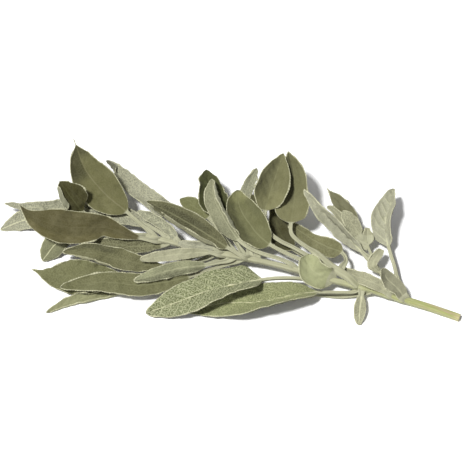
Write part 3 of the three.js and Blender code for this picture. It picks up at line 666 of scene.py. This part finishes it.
def makeStem(name, nodes):
    values = stemValues
    line = stemLines[name]
    centres, radii = line["centres"], line["radii"]
    if name != "main_stem":  # a side shoot grows out of the main stem
        along = unit(centres[1] - centres[0])
        gap, _, _, _, radius = nearestOnStems(centres[0], ["main_stem"])
        _, _, _, root, _ = nearestOnStems(centres[0] - along * (gap + radius) * rootReach, ["main_stem"])
        centres = np.concatenate([[root], centres])
        radii = np.concatenate([radii[:1], radii])
    knots = lengthsAlong(centres) / mm
    total = knots[-1]
    endRound = np.array([0.9, 0.6, 0.35, 0.15, 0.03]) * radii[-1] / mm
    at = np.concatenate([np.arange(0.0, total - endRound[0], values["cell"]), total - endRound])
    middle = smoothBetween(knots, centres, at) / mm
    radius = np.interp(at, knots, radii) / mm
    for node in nodes:
        place = node + knots[-1] - lengthsAlong(line["centres"])[-1] / mm
        radius *= 1 + values["nodeSwell"] * np.exp(-((at - place) / values["nodeLength"]) ** 2)
    radius *= np.sqrt(1 - np.clip(1 - (total - at) / endRound[0], 0.0, 1.0) ** 2)
    along = unit(np.gradient(middle, at, axis=0))
    across = line["across"][0] - along * (along @ line["across"][0])[:, None]
    across = unit(across)
    up = np.cross(across, along)
    turn = -np.arange(values["sides"]) / values["sides"] * 2 * math.pi
    hollows = values["groove"] * np.exp(-(np.sin(2 * turn) / 0.45) ** 2)
    section = 1 - values["corner"] * np.cos(4 * turn) - hollows
    directions = across[:, None] * np.cos(turn)[None, :, None] + up[:, None] * np.sin(turn)[None, :, None]
    rings = middle[:, None] + directions * (radius[:, None] * section[None])[..., None]
    inward = np.ones(len(at))
    if name == "main_stem":  # the cut end, with its soft pith a little sunk
        faceRings = np.array([0.12, 0.3, 0.48, 0.62, 0.72, 0.8, 0.9, 0.97])
        ridge = values["cutRidge"] * np.exp(-((faceRings - 0.86) / 0.08) ** 2)
        sunk = values["pith"] * (1 - smoothStep(0.45, 0.75, faceRings)) - ridge
        face = middle[0] + (rings[0] - middle[0])[None] * faceRings[:, None, None]
        face = face + along[0] * sunk[:, None, None]
        rings = np.concatenate([face, rings])
        at = np.concatenate([np.zeros(len(faceRings)), at])
        inward = np.concatenate([faceRings, inward])
        middle = np.concatenate([[middle[0] + along[0] * values["pith"]], middle])
    rings[..., 2] = np.maximum(rings[..., 2], leastHeights["stem"])
    at = at + (0.0 if name == "main_stem" else values["greyFrom"])
    shape = rings.shape[:2]
    place = np.stack([np.broadcast_to(at[:, None], shape), np.broadcast_to(turn, shape),
                      np.broadcast_to(inward[:, None], shape)], axis=-1)
    return meshFromRings(name + "_skin", rings * mm, middle[0] * mm, centres[-1], {"stemPlace": place})


leaves = {name: makeLeaf(name, index) for index, name in enumerate(leafNames)}
print("leaf blades built:", len(leaves))
nodesOf = {name: [] for name in stemNames}
for name in leafNames:
    start, _, _ = readRings(name)
    _, stem, length, _, _ = nearestOnStems(start)
    nodesOf[stem].append(length / mm)
stems = {name: makeStem(name, nodesOf[name]) for name in stemNames}
print("stems built:", len(stems))


# Veins and net of a leaf, in mm along and across the blade: used for its relief and its colours

veinValues = {
    "spacing": 4.2,
    "slope": 0.8,  # how far along a side vein runs for each mm across
    "bend": 0.035,
    "width": 0.26,
    "netSize": 0.62,
    "netDisorder": 0.7,
    "wander": 3.0,  # mm, how far the veins stray
    "wanderSize": 4.0,
}


def leafVeins(along, across, margin, reach, ribShare, salt):
    values = veinValues
    out = abs(across)
    side = across.math("GREATER_THAN", across, 0.0)
    place = along.vector(along, across, salt)
    wander = place.noise(values["wanderSize"], 3.0) - 0.5
    bent = along - out * values["slope"] - out * out * values["bend"]
    phase = (bent + wander * values["wander"]) / values["spacing"]
    phase = phase + side * 0.5
    away = abs(phase.math("FRACT", phase) - 0.5) * values["spacing"]
    sideVein = 1.0 - away.rise(0.3 * values["width"], 1.6 * values["width"])
    sideVein = sideVein * margin.rise(0.2, 1.6)
    early = 1.0 - reach
    midrib = 1.0 - abs(across + wander * 0.3).rise(0.1, 0.2 + ribShare * 0.16 + early * early * 0.42)
    netPlace = along.vector((along - out * 0.5) / values["netSize"] + salt, across / values["netSize"], 0.0)
    flat = {"voronoi_dimensions": "2D"}
    netInputs = {"Vector": netPlace, "Scale": 1.0, "Randomness": values["netDisorder"]}
    fromMiddle = netPlace.node("ShaderNodeTexVoronoi", flat, netInputs)
    vault = away.rise(0.0, 0.5 * values["spacing"]) * margin.rise(0.2, 2.5)
    return midrib, sideVein, vault, fromMiddle


# Relief of the leaves: domed cells between sunken veins above, raised veins below

reliefValues = {
    "Midrib depth": 0.14,
    "Vein depth": 0.1,
    "Cell height": 0.2,
    "Vault height": 0.45,
    "Underside height": 0.15,
    "Dent depth": 2.0,
}
dentSize = 5.5  # mm


def groupInput(tree, name, kind="NodeSocketFloat"):
    tree.interface.new_socket(name, in_out="INPUT", socket_type=kind)


def startGeometryTree(name, inputNames):
    tree = bpy.data.node_groups.new(name, "GeometryNodeTree")
    tree.is_modifier = True
    groupInput(tree, "Geometry", "NodeSocketGeometry")
    for inputName in inputNames:
        groupInput(tree, inputName)
    groupInput(tree, "Material", "NodeSocketMaterial")
    tree.interface.new_socket("Geometry", in_out="OUTPUT", socket_type="NodeSocketGeometry")
    source = tree.nodes.new("NodeGroupInput")
    return {socket.name: Wire(tree, socket) for socket in source.outputs if socket.name}


def endGeometryTree(geometry, material):
    tree = geometry.tree
    real = geometry.node("GeometryNodeRealizeInstances", None, {"Geometry": geometry})
    done = real.node("GeometryNodeSetMaterial", None, {"Geometry": real, "Material": material})
    tree.links.new(done.socket, tree.nodes.new("NodeGroupOutput").inputs[0])
    return tree


def stored(wire, name, kind="FLOAT_VECTOR"):
    return wire.node("GeometryNodeInputNamedAttribute", {"data_type": kind}, {"Name": name})


def reliefTree():
    inputs = startGeometryTree("leaf relief", reliefValues)
    geometry = inputs["Geometry"]
    along, across, side = stored(geometry, "bladePlace").parts()
    margin, blade, reach = stored(geometry, "bladeEdge").parts()
    netShare, veinShare, ribShare = stored(geometry, "leafLook").parts()
    salt = stored(geometry, "leafSalt", "FLOAT")
    midrib, sideVein, vault, fromMiddle = leafVeins(along, across, margin, reach, ribShare, salt)
    dome = 1.0 - fromMiddle.rise(0.2, 0.6)
    sunken = sideVein * inputs["Vein depth"] * (0.2 + 0.8 * veinShare)
    sunken = sunken + midrib * inputs["Midrib depth"] * (0.4 + 0.6 * ribShare)
    above = dome * inputs["Cell height"] * (0.1 + netShare * 0.8) - sunken
    above = above + vault * inputs["Vault height"] * (0.35 + veinShare)
    below = (1.0 - dome) * (0.2 + 0.8 * netShare) * 0.7 + sideVein * (0.3 + 0.7 * veinShare)
    below = below * inputs["Underside height"] - vault * inputs["Vault height"] * (0.35 + veinShare) * 0.6
    onTop = side.math("GREATER_THAN", side, 0.0)
    height = below + onTop * (above - below)
    dents = along.vector(along, across, salt).noise(dentSize, 2.0) - 0.5
    outward = onTop * 2.0 - 1.0
    height = (height * margin.rise(0.05, 0.6) + dents * outward * inputs["Dent depth"]) * blade * mm
    normal = geometry.node("GeometryNodeInputNormal")
    lift = normal.node("ShaderNodeVectorMath", {"operation": "SCALE"}, {0: normal, "Scale": height})
    moved = geometry.node("GeometryNodeSetPosition", None, {"Geometry": geometry, "Offset": lift})
    return endGeometryTree(moved, inputs["Material"])


# Bends down what stands above the sprig's own height, and lifts what would dip into the ground
def keepLow(mesh):
    spots = np.empty(len(mesh.vertices) * 3, np.float32)
    mesh.vertices.foreach_get("co", spots)
    heights = spots[2::3]
    limit = cadBounds[1][2] - topBend["from"] * mm
    heights = np.where(heights > limit, limit + (heights - limit) * topBend["share"], heights)
    spots[2::3] = np.maximum(heights, leastHeights["finished"] * mm)
    mesh.vertices.foreach_set("co", spots)
    mesh.update()


# Sets a modifier's named inputs, bakes the result into a plain mesh and takes the modifier off
def bakeTree(piece, tree, values):
    modifier = piece.modifiers.new(tree.name, "NODES")
    modifier.node_group = tree
    for item in tree.interface.items_tree:
        if item.in_out == "INPUT" and item.name in values:
            modifier[item.identifier] = values[item.name]
    seen = piece.evaluated_get(bpy.context.evaluated_depsgraph_get())
    mesh = bpy.data.meshes.new_from_object(seen)
    piece.modifiers.remove(modifier)
    keepLow(mesh)
    return mesh


# Materials

leafTones = {
    "olive_leaf": {"top": (0.105, 0.102, 0.043), "under": (0.27, 0.265, 0.17), "vein": (0.3, 0.3, 0.17),
                   "sheen": 0.12},
    "pale_leaf": {"top": (0.26, 0.255, 0.165), "under": (0.32, 0.317, 0.235), "vein": (0.46, 0.46, 0.3),
                  "sheen": 0.15},
    "dark_leaf": {"top": (0.04, 0.036, 0.008), "under": (0.26, 0.26, 0.18), "vein": (0.1, 0.105, 0.045),
                  "sheen": 0.05},
    "brown_leaf": {"top": (0.06, 0.053, 0.018), "under": (0.27, 0.25, 0.16), "vein": (0.26, 0.24, 0.15),
                   "sheen": 0.1},
}
leafFinish = {
    "rim": (0.5, 0.49, 0.33),
    "rib": (0.56, 0.55, 0.36),
    "green": (0.22, 0.27, 0.075),
    "roughness": 0.85,
    "sheenTint": (0.96, 0.93, 0.7),
    "sheenRoughness": 0.5,
    "specular": 0.2,
    "patchSize": 8.0,  # mm
    "streakSize": 1.6,
    "grainSize": 0.3,
    "fibreSize": 0.9,
    "coarseSize": 1.1,
    "netPitShadeAndGreen": 0.62,  # how dark the net's pits are painted: partly painted shade in the sunken cells, partly the green showing through the down
    "netLines": 0.75,  # how strong its lines are
    "grainDepth": 0.12,  # mm, of the down's fine grain
}


def startMaterial(name):
    material = bpy.data.materials.new(name)
    material.use_nodes = True
    tree = material.node_tree
    tree.nodes.clear()
    shader = tree.nodes.new("ShaderNodeBsdfPrincipled")
    output = tree.nodes.new("ShaderNodeOutputMaterial")
    tree.links.new(shader.outputs[0], output.inputs["Surface"])
    return material, tree, shader


def color(values):
    return (*values, 1.0)


def attribute(tree, name, output):
    return Wire(tree).node("ShaderNodeAttribute", {"attribute_name": name}, None, output)


# A wire that scales a colour's brightness
def brighter(colorWire, factor):
    return colorWire.node("ShaderNodeVectorMath", {"operation": "SCALE"}, {0: colorWire, "Scale": factor})


def leafMaterial(slotName):
    tone, finish = leafTones[slotName], leafFinish
    material, tree, shader = startMaterial(slotName + "_velvet")
    along, across, side = attribute(tree, "bladePlace", "Vector").parts()
    margin, _, reach = attribute(tree, "bladeEdge", "Vector").parts()
    netShare, veinShare, ribShare = attribute(tree, "leafLook", "Vector").parts()
    # the first part holds the leaf's tone with its painted light and shade
    shade, down, green = attribute(tree, "leafTint", "Vector").parts()
    salt = attribute(tree, "leafSalt", "Fac")
    midrib, sideVein, _, fromMiddle = leafVeins(along, across, margin, reach, ribShare, salt)
    netLine = fromMiddle.rise(0.3, 0.55)
    # the net's darker cells: partly painted shade in the sunken cells of an underside, partly the green
    # showing through thinner down
    pitShadeAndGreen = (1.0 - fromMiddle.rise(0.1, 0.42)) * (1.0 - midrib) * (1.0 - sideVein * veinShare)
    onTop = side.rise(-0.4, 0.4)
    place = along.vector(along, across, salt)
    patches = place.noise(finish["patchSize"], 3.0)
    streaks = along.vector(along * 0.25, across, salt).noise(finish["streakSize"], 3.0)
    grain = place.noise(finish["grainSize"], 4.0)
    bladeShare = reach.rise(0.0, 0.03)

    # green under a down of pale hairs, which lies thicker below
    covered = down + (patches - 0.5) * 0.25 + (streaks - 0.5) * 0.2
    covered = covered + (1.0 - onTop) * (0.85 - down)
    base = Wire(tree).node("ShaderNodeRGB")
    base.socket.default_value = color(tone["top"])
    surface = base.mixColor(covered.math("MAXIMUM", covered, 0.0), color(tone["under"]))
    surface = surface.mixColor(green, color(finish["green"]))
    # the leaf's tone with its painted light and shade, fading out along the stalk
    toneWithPaintedShade = shade + (1.0 - bladeShare) * (1.0 - shade)
    surface = brighter(surface, toneWithPaintedShade * (1.0 - pitShadeAndGreen * netShare * finish["netPitShadeAndGreen"]))
    veins = midrib * ribShare * (1.0 - reach.rise(0.6, 1.0) * 0.6)
    seenVeins = veinShare + (1.0 - veinShare) * patches.rise(0.35, 0.6)
    veins = veins.math("MAXIMUM", veins, sideVein * veinShare * seenVeins)
    veins = veins.math("MAXIMUM", veins, netLine * finish["netLines"] * netShare)
    surface = surface.mixColor(veins * 0.85, color(tone["vein"]))
    surface = surface.mixColor(midrib * ribShare.rise(0.5, 1.0) * 0.7, color(finish["rib"]))
    fibres = along.vector(along * 0.12, across * 2.5, salt).noise(finish["fibreSize"], 3.0)
    stalk = brighter(surface.mixColor(1.0, color(stemTones["young"])), 0.62 + fibres * 0.66)
    surface = surface.mixColor((1.0 - bladeShare) * 0.9, stalk)
    turns = along * (2.0 * math.pi / scallopLength)
    beads = 0.75 - turns.math("COSINE", turns) * 0.25
    rim = (1.0 - margin.rise(0.02, 0.1 + grain * 0.4)) * bladeShare * beads
    surface = surface.mixColor(rim * 0.9, color(finish["rim"]))
    coarse = place.noise(finish["coarseSize"], 2.0)
    light = (0.88 + patches * 0.24) * (0.88 + grain * 0.24) * (0.94 + coarse * 0.12)
    light = light * (1.0 - side.rise(1.2, 1.8) * 0.6)
    surface = brighter(surface, light)
    tree.links.new(surface.socket, shader.inputs["Base Color"])
    shader.inputs["Roughness"].default_value = finish["roughness"]
    shader.inputs["Specular IOR Level"].default_value = finish["specular"]
    shader.inputs["Sheen Weight"].default_value = tone["sheen"]
    shader.inputs["Sheen Roughness"].default_value = finish["sheenRoughness"]
    shader.inputs["Sheen Tint"].default_value = color(finish["sheenTint"])
    height = grain * 0.7 + streaks * 0.8 + netLine * netShare * 0.3
    bumpInputs = {"Strength": 0.4, "Distance": finish["grainDepth"] * mm, "Height": height}
    bump = height.node("ShaderNodeBump", None, bumpInputs)
    tree.links.new(bump.socket, shader.inputs["Normal"])
    return material


stemFinish = {"roughness": 0.62, "specular": 0.3, "sheen": 0.2, "sheenRoughness": 0.5, "grainDepth": 0.15}
stemTones = {
    "green": (0.33, 0.35, 0.12),
    "grey": (0.39, 0.38, 0.27),
    "young": (0.37, 0.367, 0.25),
    "blush": (0.44, 0.33, 0.23),
    "cut": (0.62, 0.52, 0.3),
    "pith": (0.74, 0.72, 0.5),
}


def stemMaterial():
    tones = stemTones
    material, tree, shader = startMaterial("stem_skin")
    along, turn, inward = attribute(tree, "stemPlace", "Vector").parts()
    place = along.vector(along * 0.12, turn * 2.0, 0.0)
    streaks = place.noise(1.0, 3.0)
    grain = along.vector(along, turn * 1.4, 3.0).noise(0.3, 3.0)
    base = Wire(tree).node("ShaderNodeRGB")
    base.socket.default_value = color(tones["green"])
    surface = base.mixColor(along.rise(5.0, 75.0) * 0.8, color(tones["grey"]))
    surface = surface.mixColor(streaks.rise(0.45, 0.75) * 0.5, color(tones["young"]))
    blushed = (1.0 - along.rise(6.0, 26.0)) * place.noise(1.6, 2.0).rise(0.48, 0.62)
    surface = surface.mixColor(blushed * 0.6, color(tones["blush"]))
    nearCut = 1.0 - along.rise(0.2, 4.0)
    surface = surface.mixColor(nearCut * 0.4, color(tones["cut"]))
    inside = 1.0 - inward.rise(0.9, 0.99)
    surface = surface.mixColor(inside, color(tones["cut"]))
    surface = surface.mixColor(inside * (1.0 - inward.rise(0.5, 0.7)), color(tones["pith"]))
    surface = brighter(surface, (0.86 + grain * 0.22) * (0.7 + streaks * 0.46))
    tree.links.new(surface.socket, shader.inputs["Base Color"])
    shader.inputs["Roughness"].default_value = stemFinish["roughness"]
    shader.inputs["Specular IOR Level"].default_value = stemFinish["specular"]
    shader.inputs["Sheen Weight"].default_value = stemFinish["sheen"]
    shader.inputs["Sheen Roughness"].default_value = stemFinish["sheenRoughness"]
    height = streaks * 0.6 + grain * 0.4
    bumpInputs = {"Strength": 0.4, "Distance": stemFinish["grainDepth"] * mm, "Height": height}
    bump = height.node("ShaderNodeBump", None, bumpInputs)
    tree.links.new(bump.socket, shader.inputs["Normal"])
    return material


def plainMaterial(name, shown, roughness):
    material, _, shader = startMaterial(name)
    shader.inputs["Base Color"].default_value = shown
    shader.inputs["Roughness"].default_value = roughness
    return material


# Finishing the pieces

leafSkins = {name: leafMaterial(name) for name in leafTones}
stemSkin = stemMaterial()
relief = reliefTree()

for name, piece in leaves.items():
    skin = leafSkins[slotOf[name]]
    piece.data = bakeTree(piece, relief, {**reliefValues, "Material": skin})
    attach(piece, "root")
    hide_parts(name)
print("leaf relief baked")

for name, piece in stems.items():
    piece.data.materials.append(stemSkin)
    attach(piece, "root")
    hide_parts(name)
print("stems finished")


# Floor and sky

def makeFloor(values):
    reach = values["floorSize"] / 2
    mesh = bpy.data.meshes.new("floor")
    corners = [(-reach, -reach, 0), (reach, -reach, 0), (reach, reach, 0), (-reach, reach, 0)]
    mesh.from_pydata(corners, [], [(0, 1, 2, 3)])
    mesh.materials.append(plainMaterial("floor_white", values["floorColor"], 0.9))
    floor = bpy.data.objects.new("floor", mesh)
    bpy.context.scene.collection.objects.link(floor)


def makeSky(values):
    world = bpy.data.worlds.new("sky")
    world.use_nodes = True
    tree = world.node_tree
    tree.nodes.clear()
    seen = Wire(tree).node("ShaderNodeLightPath", None, None, "Is Camera Ray")
    toRight, toBack, _ = Wire(tree).node("ShaderNodeTexCoord", None, None, "Generated").parts()
    lean = 1.0 - (toRight * 0.9 + toBack * 0.4) * values["skyLean"]
    strength = lean * values["skyStrength"] * (1.0 - seen) + seen
    glow = seen.node("ShaderNodeBackground", None, {"Color": (1.0, 1.0, 1.0, 1.0), "Strength": strength})
    output = tree.nodes.new("ShaderNodeOutputWorld")
    tree.links.new(glow.socket, output.inputs["Surface"])
    bpy.context.scene.world = world


makeFloor(lightValues)
makeSky(lightValues)
bpy.context.scene.view_settings.view_transform = "Standard"
